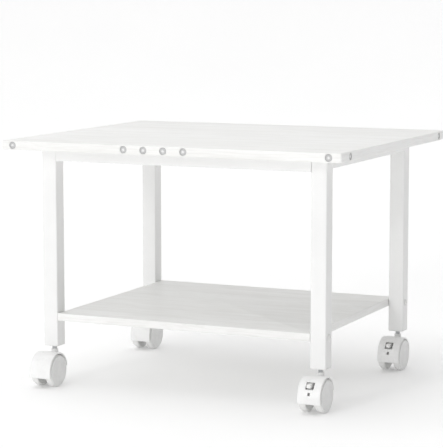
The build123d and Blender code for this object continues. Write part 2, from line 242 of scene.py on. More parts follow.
# Each area light: its name, place, target, size and power in watts.
AREA_LIGHTS = (
    ("key", (-0.75, -3.6, 1.55), (0.0, 0.0, 0.2), (0.5, 0.5), 17.0),
    ("low_front", (-0.2, -3.4, 0.42), (0.0, 0.0, 0.1), (1.8, 0.6), 11.0),
    ("top", (-0.3, -0.3, 3.4), (0.0, 0.0, 0.2), (2.2, 2.2), 21.0),
)
CAMERA_PLACE = (1.240, -2.761, 0.626)
CAMERA_YAW = 24.47
CAMERA_PITCH = 7.17
CAMERA_LENS = 153.0
CAMERA_FAR = 60.0

# The middle part of a noise texture's range, where nearly all of its values lie.
NOISE_LOW = 0.3
NOISE_HIGH = 0.7
WHITE = (1.0, 1.0, 1.0)

CORNERS = ("front_left", "front_right", "back_left", "back_right")
BRAKED = ("front_right", "back_right")
X_AXIS = Vector((1, 0, 0))
Z_AXIS = Vector((0, 0, 1))


# ---------------------------------------------------------------- mesh helpers
def skin(bm, rings, closed_rings=True, loop=False, capped=False):
    """Join rings of equal length with quads. loop joins the last ring to the first,
    and capped closes both ends."""
    count = len(rings[0])
    pairs = list(zip(rings, rings[1:]))
    if loop:
        pairs.append((rings[-1], rings[0]))
    last = count if closed_rings else count - 1
    for one, two in pairs:
        for i in range(last):
            j = (i + 1) % count
            bm.faces.new((one[i], one[j], two[j], two[i]))
    if capped:
        bm.faces.new(rings[0])
        bm.faces.new(rings[-1])


def add_ring(bm, points):
    return [bm.verts.new(p) for p in points]


def side_axes(axis):
    """Two unit vectors square to an axis."""
    helper = Z_AXIS if abs(axis.z) < 0.9 else X_AXIS
    first = axis.cross(helper).normalized()
    return first, axis.cross(first).normalized()


def lathe(bm, profile, origin, axis, segments=FINE, hollow=False, capped=True):
    """Turn (along, radius) points about an axis. A hollow profile closes on itself,
    and any other is capped at both ends unless told not to be."""
    origin = Vector(origin)
    axis = Vector(axis).normalized()
    first, second = side_axes(axis)
    rings = []
    for along, radius in profile:
        points = []
        for i in range(segments):
            angle = 2 * math.pi * i / segments
            spoke = first * math.cos(angle) + second * math.sin(angle)
            points.append(origin + axis * along + spoke * radius)
        rings.append(add_ring(bm, points))
    skin(bm, rings, loop=hollow, capped=capped and not hollow)
    return rings


def arc(centre, radius, start, end, steps):
    """Points on an arc, in degrees, as pairs in the centre's own two directions."""
    points = []
    for i in range(steps + 1):
        angle = math.radians(start + (end - start) * i / steps)
        points.append((centre[0] + radius * math.cos(angle),
                       centre[1] + radius * math.sin(angle)))
    return points


def rounded_outline(half_width, half_height, corner, steps=CORNER_STEPS):
    """A rounded rectangle about the origin, anticlockwise."""
    points = []
    for sign_x, sign_y, start in ((1, 1, 0), (-1, 1, 90), (-1, -1, 180), (1, -1, 270)):
        centre = (sign_x * (half_width - corner), sign_y * (half_height - corner))
        points += arc(centre, corner, start, start + 90, steps)
    return points


def place_object(name, data):
    """A new object in the scene, holding a mesh, a light or a camera."""
    obj = bpy.data.objects.new(name, data)
    bpy.context.scene.collection.objects.link(obj)
    return obj


def new_object(name, bm, material):
    """An object from a bmesh, which is used up: seams joined and faces turned outward."""
    bmesh.ops.remove_doubles(bm, verts=bm.verts, dist=JOIN_DISTANCE)
    bmesh.ops.recalc_face_normals(bm, faces=bm.faces)
    mesh = bpy.data.meshes.new(name)
    bm.to_mesh(mesh)
    bm.free()
    if material is not None:
        mesh.materials.append(material)
    return place_object(name, mesh)


def shade(obj, crease=CREASE_ANGLE):
    """Smooth shading, with edges sharper than the crease angle, in degrees, left sharp."""
    mesh = obj.data
    mesh.polygons.foreach_set("use_smooth", [True] * len(mesh.polygons))
    mesh.set_sharp_from_angle(angle=math.radians(crease))


def settle(obj, body, nodes):
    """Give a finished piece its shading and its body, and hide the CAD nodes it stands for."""
    shade(obj)
    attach(obj, body)
    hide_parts(*nodes)
    return obj


def apply_modifiers(obj):
    graph = bpy.context.evaluated_depsgraph_get()
    mesh = bpy.data.meshes.new_from_object(obj.evaluated_get(graph))
    obj.modifiers.clear()
    obj.data = mesh


def combine(base, other, operation):
    """Join or cut two solids. The second is used up."""
    modifier = base.modifiers.new("combine", "BOOLEAN")
    modifier.operation = operation
    modifier.solver = "EXACT"
    modifier.object = other
    apply_modifiers(base)
    bpy.data.objects.remove(other)


def bevel(obj, width):
    """Round every edge sharper than the bevel angle."""
    modifier = obj.modifiers.new("bevel", "BEVEL")
    modifier.width = width
    modifier.segments = BEVEL_SEGMENTS
    modifier.limit_method = "ANGLE"
    modifier.angle_limit = math.radians(BEVEL_ANGLE)
    modifier.use_clamp_overlap = True
    apply_modifiers(obj)


def slab_object(name, outline, half_width, material):
    """A (y, z) outline extruded the same distance either way along X."""
    bm = bmesh.new()
    rings = [add_ring(bm, [(x, y, z) for y, z in outline]) for x in (-half_width, half_width)]
    skin(bm, rings, capped=True)
    return new_object(name, bm, material)


def box_object(name, low, high):
    low, high = Vector(low), Vector(high)
    outline = [(low.y, low.z), (high.y, low.z), (high.y, high.z), (low.y, high.z)]
    obj = slab_object(name, outline, (high.x - low.x) / 2, None)
    obj.data.transform(Matrix.Translation(((low.x + high.x) / 2, 0, 0)))
    return obj


def rod_object(name, start, length, axis, radius, segments=FINE):
    bm = bmesh.new()
    lathe(bm, [(0, radius), (length, radius)], start, axis, segments)
    return new_object(name, bm, None)


# ------------------------------------------------------------- material helpers
class Shader:
    """A material under construction: its node tree, and the shader's own sockets."""

    def __init__(self, name, colour, roughness, metallic=0.0):
        self.material = bpy.data.materials.new(name)
        self.material.use_nodes = True
        self.tree = self.material.node_tree
        self.bsdf = self.tree.nodes["Principled BSDF"]
        self.set(self.bsdf, "Base Color", (*colour, 1))
        self.set(self.bsdf, "Roughness", roughness)
        self.set(self.bsdf, "Metallic", metallic)
        self.coords = self.node("ShaderNodeTexCoord").outputs["Object"]

    def set(self, node, socket, value):
        node.inputs[socket].default_value = value

    def node(self, kind, **settings):
        made = self.tree.nodes.new(kind)
        for key, value in settings.items():
            setattr(made, key, value)
        return made

    def link(self, source, target):
        self.tree.links.new(source, target)

    def stretched(self, scale, source=None):
        mapping = self.node("ShaderNodeMapping")
        self.link(source or self.coords, mapping.inputs["Vector"])
        self.set(mapping, "Scale", scale)
        return mapping.outputs["Vector"]

    def noise(self, vector, scale, detail=3.0, roughness=0.5, distortion=0.0):
        made = self.node("ShaderNodeTexNoise")
        self.link(vector, made.inputs["Vector"])
        self.set(made, "Scale", scale)
        self.set(made, "Detail", detail)
        self.set(made, "Roughness", roughness)
        self.set(made, "Distortion", distortion)
        return made.outputs["Fac"]

    def ramp(self, factor, low, high, start, end):
        """A ramp between two colours over part of a factor's range."""
        made = self.node("ShaderNodeValToRGB")
        made.color_ramp.elements[0].position = start
        made.color_ramp.elements[0].color = (*low, 1)
        made.color_ramp.elements[1].position = end
        made.color_ramp.elements[1].color = (*high, 1)
        self.link(factor, made.inputs["Fac"])
        return made.outputs["Color"]

    def multiply(self, one, two, amount=1.0):
        made = self.node("ShaderNodeMix", data_type="RGBA", blend_type="MULTIPLY")
        made.inputs["Factor"].default_value = amount
        self.link(one, made.inputs["A"])
        self.link(two, made.inputs["B"])
        return made.outputs["Result"]

    def remap(self, factor, low, high, start=NOISE_LOW, end=NOISE_HIGH):
        """A number that goes from low to high over part of a factor's range."""
        made = self.node("ShaderNodeMapRange")
        self.link(factor, made.inputs["Value"])
        self.set(made, "From Min", start)
        self.set(made, "From Max", end)
        self.set(made, "To Min", low)
        self.set(made, "To Max", high)
        return made.outputs["Result"]

    def bump(self, height, distance, strength=1.0, below=None):
        made = self.node("ShaderNodeBump")
        self.set(made, "Strength", strength)
        self.set(made, "Distance", distance)
        self.link(height, made.inputs["Height"])
        if below is not None:
            self.link(below, made.inputs["Normal"])
        return made.outputs["Normal"]

    def finish(self, colour=None, roughness=None, normal=None):
        links = ((colour, "Base Color"), (roughness, "Roughness"), (normal, "Normal"))
        for source, socket in links:
            if source is not None:
                self.link(source, self.bsdf.inputs[socket])
        return self.material


def dimmed(colour, share):
    return tuple(channel * share for channel in colour)


def wood_laminate(name, along, dark, light):
    """White laminate printed and embossed with wood grain that runs along one axis."""
    shader = Shader(name, light, 0.42)
    shader.set(shader.bsdf, "Specular IOR Level", 0.45)
    grain_scale, figure_scale, pore_scale = 3.2, 46.0, 420.0
    figure_way = [figure_scale] * 3
    pore_way = [pore_scale] * 3
    index = "XYZ".index(along)
    figure_way[index] = grain_scale
    pore_way[index] = grain_scale * 5
    swirl = shader.noise(shader.coords, 4.0, detail=2.0)
    bend = shader.node("ShaderNodeMix", data_type="VECTOR")
    bend.inputs["Factor"].default_value = 0.035
    shader.link(shader.coords, bend.inputs["A"])
    shader.link(swirl, bend.inputs["B"])
    bent = bend.outputs["Result"]
    figure = shader.noise(shader.stretched(figure_way, bent), 1.0, detail=5.0,
                          roughness=0.6, distortion=0.6)
    pores = shader.noise(shader.stretched(pore_way, bent), 1.0, detail=3.0, roughness=0.55)
    tone = shader.noise(shader.coords, 3.0, detail=2.0)
    colour = shader.ramp(figure, dark, light, 0.34, 0.62)
    streaks = shader.ramp(pores, (0.95, 0.948, 0.942), WHITE, 0.36, 0.52)
    cloud = shader.ramp(tone, (0.965, 0.965, 0.96), WHITE, NOISE_LOW, NOISE_HIGH)
    colour = shader.multiply(shader.multiply(colour, streaks), cloud)
    relief = shader.bump(figure, 0.12 * MM, 0.6)
    relief = shader.bump(pores, 0.06 * MM, 0.8, relief)
    return shader.finish(colour, shader.remap(pores, 0.5, 0.36), relief)


def powder_coat(name, colour):
    """Sprayed enamel: a fine orange peel and faint specks over steel."""
    shader = Shader(name, colour, 0.4)
    shader.set(shader.bsdf, "Coat Weight", 0.12)
    shader.set(shader.bsdf, "Coat Roughness", 0.25)
    peel = shader.noise(shader.coords, 650.0, detail=2.0, roughness=0.45)
    specks = shader.noise(shader.coords, 2600.0, detail=1.0)
    cloud = shader.noise(shader.coords, 14.0, detail=3.0)
    tint = shader.ramp(cloud, dimmed(colour, 0.965), colour, NOISE_LOW, NOISE_HIGH)
    dust = shader.ramp(specks, dimmed(WHITE, 0.965), WHITE, 0.28, 0.4)
    relief = shader.bump(peel, 0.05 * MM, 0.55)
    relief = shader.bump(specks, 0.015 * MM, 0.5, relief)
    return shader.finish(shader.multiply(tint, dust), shader.remap(cloud, 0.34, 0.46), relief)


def moulded_plastic(name, colour, rough_low, rough_high, grain=1800.0, depth=0.012 * MM):
    """Moulded nylon: a spark-eroded grain, slow flow marks and faint scuffs."""
    shader = Shader(name, colour, (rough_low + rough_high) / 2)
    shader.set(shader.bsdf, "Specular IOR Level", 0.5)
    pits = shader.noise(shader.coords, grain, detail=2.0)
    flow = shader.noise(shader.stretched((30.0, 90.0, 60.0)), 1.0, detail=3.0, distortion=0.8)
    tint = shader.ramp(flow, dimmed(colour, 0.95), colour, 0.3, 0.65)
    scuffs = shader.noise(shader.coords, 240.0, detail=4.0, roughness=0.65)
    worn = shader.ramp(scuffs, (0.955, 0.955, 0.95), WHITE, 0.3, 0.46)
    relief = shader.bump(pits, depth, 0.7)
    relief = shader.bump(flow, 0.08 * MM, 0.25, relief)
    roughness = shader.remap(scuffs, rough_high, rough_low)
    return shader.finish(shader.multiply(tint, worn), roughness, relief)


def plated_steel(name, colour, rough_low, rough_high):
    """Zinc or nickel plate: drawn scratches and a mottled bloom."""
    shader = Shader(name, colour, (rough_low + rough_high) / 2, metallic=1.0)
    bloom = shader.noise(shader.coords, 420.0, detail=4.0, roughness=0.6)
    drawn = shader.noise(shader.stretched((300.0, 300.0, 5200.0)), 1.0, detail=2.0)
    tint = shader.ramp(bloom, dimmed(colour, 0.82), colour, 0.32, 0.62)
    relief = shader.bump(drawn, 0.01 * MM, 0.5)
    return shader.finish(tint, shader.remap(bloom, rough_high, rough_low), relief)


MATERIALS = {
    "board_face": wood_laminate("board_face", "X", (0.862, 0.858, 0.845),
                                (0.925, 0.925, 0.915)),
    # The side edges' laminate is painted lighter than the faces: painted light that lifts the shade
    # falling on those edges. Its grain runs along Y.
    "board_end_painted_light": wood_laminate("board_end_painted_light", "Y", (0.93, 0.928, 0.92), (0.975, 0.975, 0.97)),
    "frame_paint": powder_coat("frame_paint", (0.89, 0.89, 0.885)),
    "insert_plastic": moulded_plastic("insert_plastic", (0.86, 0.86, 0.85), 0.4, 0.55),
    "zinc_screw": plated_steel("zinc_screw", (0.7, 0.71, 0.72), 0.24, 0.42),
    "zinc_steel": plated_steel("zinc_steel", (0.76, 0.77, 0.78), 0.34, 0.52),
    # The studs' rim and ring are a dark grey, painted shade, and their buttons a light grey,
    # painted light: lit and shaded copies of one paint.
    "edge_stud": powder_coat("edge_stud", (0.56, 0.56, 0.56)),
    "stud_button": powder_coat("stud_button", (0.84, 0.84, 0.84)),
    "white_screw": powder_coat("white_screw", (0.86, 0.86, 0.85)),
    "hood_plastic": moulded_plastic("hood_plastic", (0.93, 0.93, 0.925), 0.26, 0.42),
    "lever_plastic": moulded_plastic("lever_plastic", (0.88, 0.88, 0.87), 0.3, 0.46),
    "wheel_plastic": moulded_plastic("wheel_plastic", (0.86, 0.86, 0.85), 0.38, 0.56,
                                     1200.0, 0.02 * MM),
    "disc_plastic": moulded_plastic("disc_plastic", (0.84, 0.84, 0.835), 0.32, 0.46),
}


# ------------------------------------------------------------------------ boards
def board_object(name, node, corner):
    """A laminated board: rounded edges, and a fine seam where the edge band meets
    each face."""
    low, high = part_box(node)
    middle = (low + high) / 2
    half = (high - low) / 2
    top = [(SEAM_INSET + SEAM_WIDTH, half.z), (SEAM_INSET, half.z - SEAM_DEPTH),
           (SEAM_INSET - SEAM_WIDTH, half.z)]
    top += arc((BOARD_EDGE, half.z - BOARD_EDGE), BOARD_EDGE, 90, 180, BOARD_EDGE_STEPS)
    levels = top + [(inset, -z) for inset, z in reversed(top)]
    bm = bmesh.new()
    rings = []
    for inset, z in levels:
        corner_here = max(corner - inset, SMALLEST_CORNER)
        outline = rounded_outline(half.x - inset, half.y - inset, corner_here)
        rings.append(add_ring(bm, [middle + Vector((x, y, z)) for x, y in outline]))
    skin(bm, rings, capped=True)
    obj = new_object(name, bm, MATERIALS["board_face"])
    # The second material, for the side edges, is the lighter, painted-light copy of the laminate.
    obj.data.materials.append(MATERIALS["board_end_painted_light"])
    return obj


def grain_on_ends(obj):
    """The side edges carry grain along Y, and every other face along X. The side edges' material is
    also a lighter copy of the laminate: painted light that lifts the shade on those edges.
    """
    for face in obj.data.polygons:
        face.material_index = 1 if abs(face.normal.x) > SIDE_FACING else 0


def islands(mesh):
    """The separate solids of a CAD node, each as a list of its corner points."""
    bm = bmesh.new()
    bm.from_mesh(mesh)
    bmesh.ops.remove_doubles(bm, verts=bm.verts, dist=CAD_JOIN_DISTANCE)
    left = set(bm.verts)
    found = []
    while left:
        stack = [left.pop()]
        points = []
        while stack:
            vert = stack.pop()
            points.append(vert.co.copy())
            for edge in vert.link_edges:
                other = edge.other_vert(vert)
                if other in left:
                    left.remove(other)
                    stack.append(other)
        found.append(points)
    bm.free()
    found.sort(key=lambda points: tuple(round(c, 4) for c in sum(points, Vector()) / len(points)))
    return found


def span(points):
    """The low and high corners of a box round some points."""
    low = Vector([min(p[i] for p in points) for i in range(3)])
    high = Vector([max(p[i] for p in points) for i in range(3)])
    return low, high


def solid_spans(node):
    """The low and high corners of each separate solid in a CAD node."""
    return [span(points) for points in islands(frame["nodes"][node].data)]


def screw_places(screw_node, board_node):
    """For screws let into a board's edge: the middle of each head's outer face, the way
    it looks, and the screw's length."""
    board_low, board_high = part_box(board_node)
    centre = (board_low + board_high) / 2
    places = []
    for low, high in solid_spans(screw_node):
        head = (low + high) / 2
        size = high - low
        along = 0 if size.x > size.y else 1
        sign = 1 if head[along] > centre[along] else -1
        outward = Vector((0, 0, 0))
        outward[along] = sign
        head[along] = high[along] if sign > 0 else low[along]
        places.append((head, outward, size[along]))
    return places


def make_boards():
    board = board_object("top_board_panel", "top_board", BOARD_CORNER)
    for head, outward, _ in screw_places("edge_screws", "top_board"):
        cutter = rod_object("cutter", head + outward * CUT_MARGIN, HEAD_HEIGHT + CUT_MARGIN,
                            -outward, HEAD_RADIUS + HEAD_GAP, COARSE)
        combine(board, cutter, "DIFFERENCE")
    grain_on_ends(board)
    settle(board, "frame", ["top_board"])
    shelf = board_object("lower_shelf_panel", "lower_shelf", SHELF_CORNER)
    grain_on_ends(shelf)
    settle(shelf, "frame", ["lower_shelf"])


# ------------------------------------------------------------------------- frame
def tube_object(name, node, axis):
    """A hollow square tube along an axis, open at both ends, with softened rims."""
    low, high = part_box(node)
    middle = (low + high) / 2
    half = (high - low) / 2
    along = "XYZ".index(axis)
    across, up = [i for i in range(3) if i != along]
    length = half[along]
    outer = (half[across], half[up])
    inner_corner = TUBE_CORNER - TUBE_WALL
    stations = [
        (-length, TUBE_END_ROUND, TUBE_CORNER),
        (-length + TUBE_END_ROUND, 0.0, TUBE_CORNER),
        (length - TUBE_END_ROUND, 0.0, TUBE_CORNER),
        (length, TUBE_END_ROUND, TUBE_CORNER),
        (length, TUBE_WALL, inner_corner),
        (-length, TUBE_WALL, inner_corner),
    ]
    bm = bmesh.new()
    rings = []
    for place, inset, corner in stations:
        points = []
        for u, v in rounded_outline(outer[0] - inset, outer[1] - inset, corner):
            point = middle.copy()
            point[along] += place
            point[across] += u
            point[up] += v
            points.append(point)
        rings.append(add_ring(bm, points))
    skin(bm, rings, loop=True)
    obj = new_object(name, bm, MATERIALS["frame_paint"])
    return settle(obj, "frame", [node])


def make_weld(name, rail, leg):
    """A ground fillet weld where a rail's lower and inner sides meet a leg."""
    rail_low, rail_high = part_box(rail)
    leg_low, leg_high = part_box(leg)
    along = 0 if rail_high.x - rail_low.x > rail_high.y - rail_low.y else 1
    across = 1 - along
    leg_middle = (leg_low + leg_high) / 2
    rail_middle = (rail_low + rail_high) / 2
    sign = 1 if leg_middle[along] > rail_middle[along] else -1
    joint = leg_low[along] if sign > 0 else leg_high[along]
    inward = 1 if leg_middle[across] < 0 else -1
    outer = rail_low[across] if inward > 0 else rail_high[across]
    inner = rail_high[across] if inward > 0 else rail_low[across]
    run = inner - outer - inward * 2 * TUBE_CORNER
    rise = rail_high.z - rail_low.z - 2 * TUBE_CORNER
    bend = (inner - inward * TUBE_CORNER, rail_low.z + TUBE_CORNER)
    path = []
    for i in range(WELD_SIDE_STEPS + 1):
        place = outer + inward * TUBE_CORNER + run * i / WELD_SIDE_STEPS
        path.append((place, rail_low.z, 0.0, -1.0))
    for i in range(1, WELD_BEND_STEPS):
        angle = math.radians(90 * i / WELD_BEND_STEPS)
        out, up = inward * math.sin(angle), -math.cos(angle)
        path.append((bend[0] + TUBE_CORNER * out, bend[1] + TUBE_CORNER * up, out, up))
    for i in range(WELD_SIDE_STEPS + 1):
        path.append((inner, bend[1] + rise * i / WELD_SIDE_STEPS, inward, 0.0))
    bm = bmesh.new()
    rings = []
    last = len(path) - 1
    for i, (place, z, out, up) in enumerate(path):
        ripple = 1.0 + sum(size * math.sin(i * rate) for size, rate in WELD_RIPPLES)
        reach = WELD_REACH * ripple * (WELD_END_SHARE if i in (0, last) else 1.0)
        points = []
        for k in range(WELD_SECTION_STEPS + 1):
            angle = math.radians(90 * k / WELD_SECTION_STEPS)
            radius = reach * (1 - WELD_HOLLOW * math.sin(2 * angle))
            point = Vector((0, 0, 0))
            point[along] = joint - sign * radius * math.sin(angle)
            point[across] = place + out * radius * math.cos(angle)
            point.z = z + up * radius * math.cos(angle)
            points.append(point)
        root = Vector((0, 0, 0))
        root[along] = joint + sign * WELD_LEG_ROOT
        root[across] = place - out * WELD_RAIL_ROOT
        root.z = z - up * WELD_RAIL_ROOT
        points.append(root)
        rings.append(add_ring(bm, points))
    skin(bm, rings, capped=True)
    obj = new_object(name, bm, MATERIALS["frame_paint"])
    shade(obj, WELD_CREASE)
    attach(obj, "frame")


def drill_access(rail, node):
    """Round holes in a rail's lower wall, which let the board screws' heads in."""
    low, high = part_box(node)
    for screw_low, screw_high in solid_spans("board_screws"):
        middle = (screw_low + screw_high) / 2
        if low.x < middle.x < high.x and low.y < middle.y < high.y:
            start = Vector((middle.x, middle.y, low.z - CUT_MARGIN))
            cutter = rod_object("cutter", start, TUBE_WALL + 2 * CUT_MARGIN, Z_AXIS,
                                HEAD_RADIUS + HEAD_GAP, COARSE)
            combine(rail, cutter, "DIFFERENCE")
    shade(rail)


def make_frame():
    for corner in CORNERS:
        tube_object(f"leg_tube_{corner}", f"leg_{corner}", "Z")
    for side, axis in (("front", "X"), ("back", "X"), ("left", "Y"), ("right", "Y")):
        node = f"{side}_rail"
        drill_access(tube_object(f"{node}_tube", node, axis), node)
    for corner in CORNERS:
        end, side = corner.split("_")
        make_weld(f"weld_{corner}_cross", f"{end}_rail", f"leg_{corner}")
        make_weld(f"weld_{corner}_side", f"{side}_rail", f"leg_{corner}")


def make_inserts():
    """A square plastic foot let into each leg, with a bore for the caster's stem."""
    bm = bmesh.new()
    flange_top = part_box("leg_front_left")[0].z
    for low, high in solid_spans("leg_inserts"):
        middle = (low + high) / 2
        flange_half = (high.x - low.x) / 2
        plug_half = flange_half - TUBE_WALL - INSERT_GAP
        stations = [
            (high.z, STEM_BORE, True),
            (high.z, plug_half, False),
            (flange_top + INSERT_STEP, plug_half, False),
            (flange_top, flange_half - INSERT_SOFT, False),
            (flange_top - 2 * INSERT_SOFT, flange_half, False),
            (low.z + INSERT_ROUND, flange_half, False),
            (low.z + INSERT_SOFT, flange_half - INSERT_SOFT, False),
            (low.z, flange_half - INSERT_ROUND, False),
            (low.z, STEM_BORE + DISH_OUTER, True),
            (low.z + DISH_DEPTH, STEM_BORE + DISH_INNER, True),
            (low.z + DISH_DEPTH, STEM_BORE + INSERT_ROUND, True),
            (low.z + DISH_BORE_DEPTH, STEM_BORE, True),
        ]
        outline = rounded_outline(plug_half, plug_half, TUBE_CORNER)
        rings = []
        for z, reach, circular in stations:
            ring = []
            for u, v in outline:
                factor = reach / (math.hypot(u, v) if circular else plug_half)
                ring.append((middle.x + u * factor, middle.y + v * factor, z))
            rings.append(add_ring(bm, ring))
        skin(bm, rings, loop=True)
    obj = new_object("leg_insert_feet", bm, MATERIALS["insert_plastic"])
    settle(obj, "frame", ["leg_inserts"])


# ------------------------------------------------------------------------ screws
def socket_screw(bm, seat, outward, length):
    """A domed head with a six-sided socket, over a plain shank."""
    profile = [(-length, SHANK_RADIUS * SCREW_TIP_SHARE),
               (-length + SCREW_TIP_LENGTH, SHANK_RADIUS), (0, SHANK_RADIUS),
               (0, HEAD_RADIUS - HEAD_SOFT), (HEAD_SOFT, HEAD_RADIUS)]
    for i in range(DOME_STEPS + 1):
        share = i / DOME_STEPS
        rise = (HEAD_HEIGHT - DOME_START) * math.sin(share * math.pi / 2)
        profile.append((DOME_START + rise, HEAD_RADIUS * math.cos(share * DOME_SWEEP)))
    profile.append((HEAD_HEIGHT, SOCKET_RADIUS + SOCKET_RIM))
    rings = lathe(bm, profile, seat, outward, COARSE, capped=False)
    first, second = side_axes(outward)
    side = math.pi / 3
    socket = [rings[-1]]
    for along in (HEAD_HEIGHT - SOCKET_LIP, HEAD_HEIGHT - SOCKET_DEPTH):
        points = []
        for i in range(COARSE):
            angle = 2 * math.pi * i / COARSE
            turn = (angle + side / 2) % side - side / 2
            radius = SOCKET_RADIUS * math.cos(side / 2) / math.cos(turn)
            spoke = first * math.cos(angle) + second * math.sin(angle)
            points.append(seat + outward * along + spoke * radius)
        socket.append(add_ring(bm, points))
    skin(bm, socket)
    bm.faces.new(rings[0])
    bm.faces.new(socket[-1])


def edge_stud(bm, face, outward, length):
    """A head let into the board's edge: a rim, a sunk ring and a domed middle button. The ring and
    rim take the first material, a dark grey that is painted shade on the head's sunk and sloping
    parts, and the button takes the second, a light grey that is painted light on its top: lit and
    shaded copies of one paint."""
    seat = face - outward * HEAD_HEIGHT
    shank = length - HEAD_HEIGHT
    sunk = (HEAD_HEIGHT - STUD_SINK, BUTTON_RADIUS)
    profile = [(-shank, SHANK_RADIUS * STUD_TIP_SHARE), (-shank + STUD_TIP_LENGTH, SHANK_RADIUS),
               (0, SHANK_RADIUS), (0, HEAD_RADIUS - HEAD_SOFT), (HEAD_SOFT, HEAD_RADIUS)]
    profile += [(HEAD_HEIGHT - drop * MM, HEAD_RADIUS - inset * MM) for drop, inset in STUD_RIM]
    profile.append(sunk)
    rings = lathe(bm, profile, seat, outward, COARSE, capped=False)
    bm.faces.new(rings[0])
    button = [sunk]
    for i in range(BUTTON_STEPS + 1):
        angle = math.pi / 2 * i / BUTTON_STEPS
        radius = (BUTTON_RADIUS - BUTTON_SOFT) * math.cos(angle)
        button.append((HEAD_HEIGHT - BUTTON_BASE + BUTTON_RISE * math.sin(angle),
                       max(radius, BUTTON_TIP)))
    before = set(bm.faces)
    rings = lathe(bm, button, seat, outward, COARSE, capped=False)
    bm.faces.new(rings[-1])
    for made in set(bm.faces) - before:
        made.material_index = 1


def make_screws():
    bm = bmesh.new()
    for head, outward, length in screw_places("edge_screws", "top_board"):
        edge_stud(bm, head, outward, length)
    # The rims and rings take the painted-shade dark grey, and the buttons the lighter,
    # painted-light grey.
    studs = new_object("edge_stud_heads", bm, MATERIALS["edge_stud"])
    studs.data.materials.append(MATERIALS["stud_button"])
    settle(studs, "frame", ["edge_screws"])

    bm = bmesh.new()
    for head, outward, length in screw_places("shelf_screws", "lower_shelf"):
        socket_screw(bm, head - outward * HEAD_HEIGHT, outward, length - HEAD_HEIGHT)
    screws = new_object("shelf_screw_set", bm, MATERIALS["white_screw"])
    settle(screws, "frame", ["shelf_screws"])

    bm = bmesh.new()
    for low, high in solid_spans("board_screws"):
        middle = (low + high) / 2
        seat = Vector((middle.x, middle.y, low.z + HEAD_HEIGHT))
        socket_screw(bm, seat, -Z_AXIS, high.z - low.z - HEAD_HEIGHT)
    screws = new_object("board_screw_set", bm, MATERIALS["zinc_screw"])
    settle(screws, "frame", ["board_screws"])


def make_stems():
    """Threaded studs: a true helix where the stem shows between hood and leg."""
    bm = bmesh.new()
    thread_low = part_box("front_left_hood")[1].z - THREAD_BELOW_HOOD
    thread_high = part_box("leg_inserts")[0].z + THREAD_ABOVE_FOOT
    for low, high in solid_spans("caster_stems"):
        middle = (low + high) / 2
        radius = (high.x - low.x) / 2
        groove = radius - GROOVE_DEPTH
        rows = [(low.z, radius - STEM_CHAMFER), (low.z + STEM_CHAMFER, radius),
                (low.z + GROOVE_LOW, radius), (low.z + GROOVE_LOW, groove),
                (low.z + GROOVE_HIGH, groove), (low.z + GROOVE_HIGH, radius),
                (thread_low - THREAD_RUN_IN, radius)]
        step = THREAD_PITCH / THREAD_ROWS
        count = int((thread_high - thread_low) / step)
        rows += [(thread_low + i * step, None) for i in range(count + 1)]
        rows += [(thread_high + THREAD_RUN_OUT, radius), (high.z - STEM_CHAMFER, radius),
                 (high.z, radius - STEM_CHAMFER)]
        rings = []
        for z, fixed in rows:
            ring = []
            for i in range(COARSE):
                turn = i / COARSE
                reach = fixed
                if fixed is None:
                    phase = ((z - thread_low) / THREAD_PITCH - turn) % 1.0
                    reach = radius - THREAD_DEPTH * abs(2 * phase - 1) ** THREAD_SHARPNESS
                angle = 2 * math.pi * turn
                ring.append((middle.x + reach * math.cos(angle),
                             middle.y + reach * math.sin(angle), z))
            rings.append(add_ring(bm, ring))
        skin(bm, rings, capped=True)
    obj = new_object("threaded_stems", bm, MATERIALS["zinc_steel"])
    settle(obj, "frame", ["caster_stems"])


# ----------------------------------------------------------------------- casters
def about_axle(radius, degrees):
    """A (y, z) point on a circle about the axle: 0 degrees faces the front, 90 is the top."""
    angle = math.radians(degrees)
    return (-AXLE_OFFSET - radius * math.cos(angle), WHEEL_RADIUS + radius * math.sin(angle))


def hood_cover(half_width):
    """The curved strip over both treads, with rolled rims and a slight crown."""
    front = math.degrees(math.asin((HOOD_FRONT_EDGE - WHEEL_RADIUS) / HOOD_RADIUS))
    back = 180 - math.degrees(math.asin((HOOD_BACK_EDGE - WHEEL_RADIUS) / HOOD_RADIUS))
    rim_at = (half_width - HOOD_RIM, HOOD_RADIUS - HOOD_RIM)
    inner_at = (half_width - HOOD_INNER_RIM, HOOD_RADIUS - HOOD_WALL + HOOD_INNER_RIM)
    section = arc((-inner_at[0], inner_at[1]), HOOD_INNER_RIM, 270, 180, INNER_RIM_STEPS)
    section += arc((-rim_at[0], rim_at[1]), HOOD_RIM, 180, 90, RIM_STEPS)
    for i in range(1, CROWN_STEPS):
        x = -rim_at[0] + 2 * rim_at[0] * i / CROWN_STEPS
        section.append((x, HOOD_RADIUS + HOOD_CROWN * (1 - (x / rim_at[0]) ** 2)))
    section += arc(rim_at, HOOD_RIM, 90, 0, RIM_STEPS)
    section += arc(inner_at, HOOD_INNER_RIM, 0, -90, INNER_RIM_STEPS)
    middle_radius = HOOD_RADIUS - HOOD_WALL / 2
    lip = math.degrees(HOOD_LIP / HOOD_RADIUS)
    sweep = back - front - 2 * lip
    stations = [(front, LIP_SHARE), (front + lip, 1.0)]
    stations += [(front + lip + sweep * i / COVER_STEPS, 1.0) for i in range(1, COVER_STEPS)]
    stations += [(back - lip, 1.0), (back, LIP_SHARE)]
    bm = bmesh.new()
    rings = []
    for degrees, share in stations:
        ring = []
        for x, radius in section:
            y, z = about_axle(middle_radius + (radius - middle_radius) * share, degrees)
            ring.append((x * (1 - (1 - share) * LIP_NARROWING), y, z))
        rings.append(add_ring(bm, ring))
    skin(bm, rings, capped=True)
    return new_object("hood_cover", bm, MATERIALS["hood_plastic"])


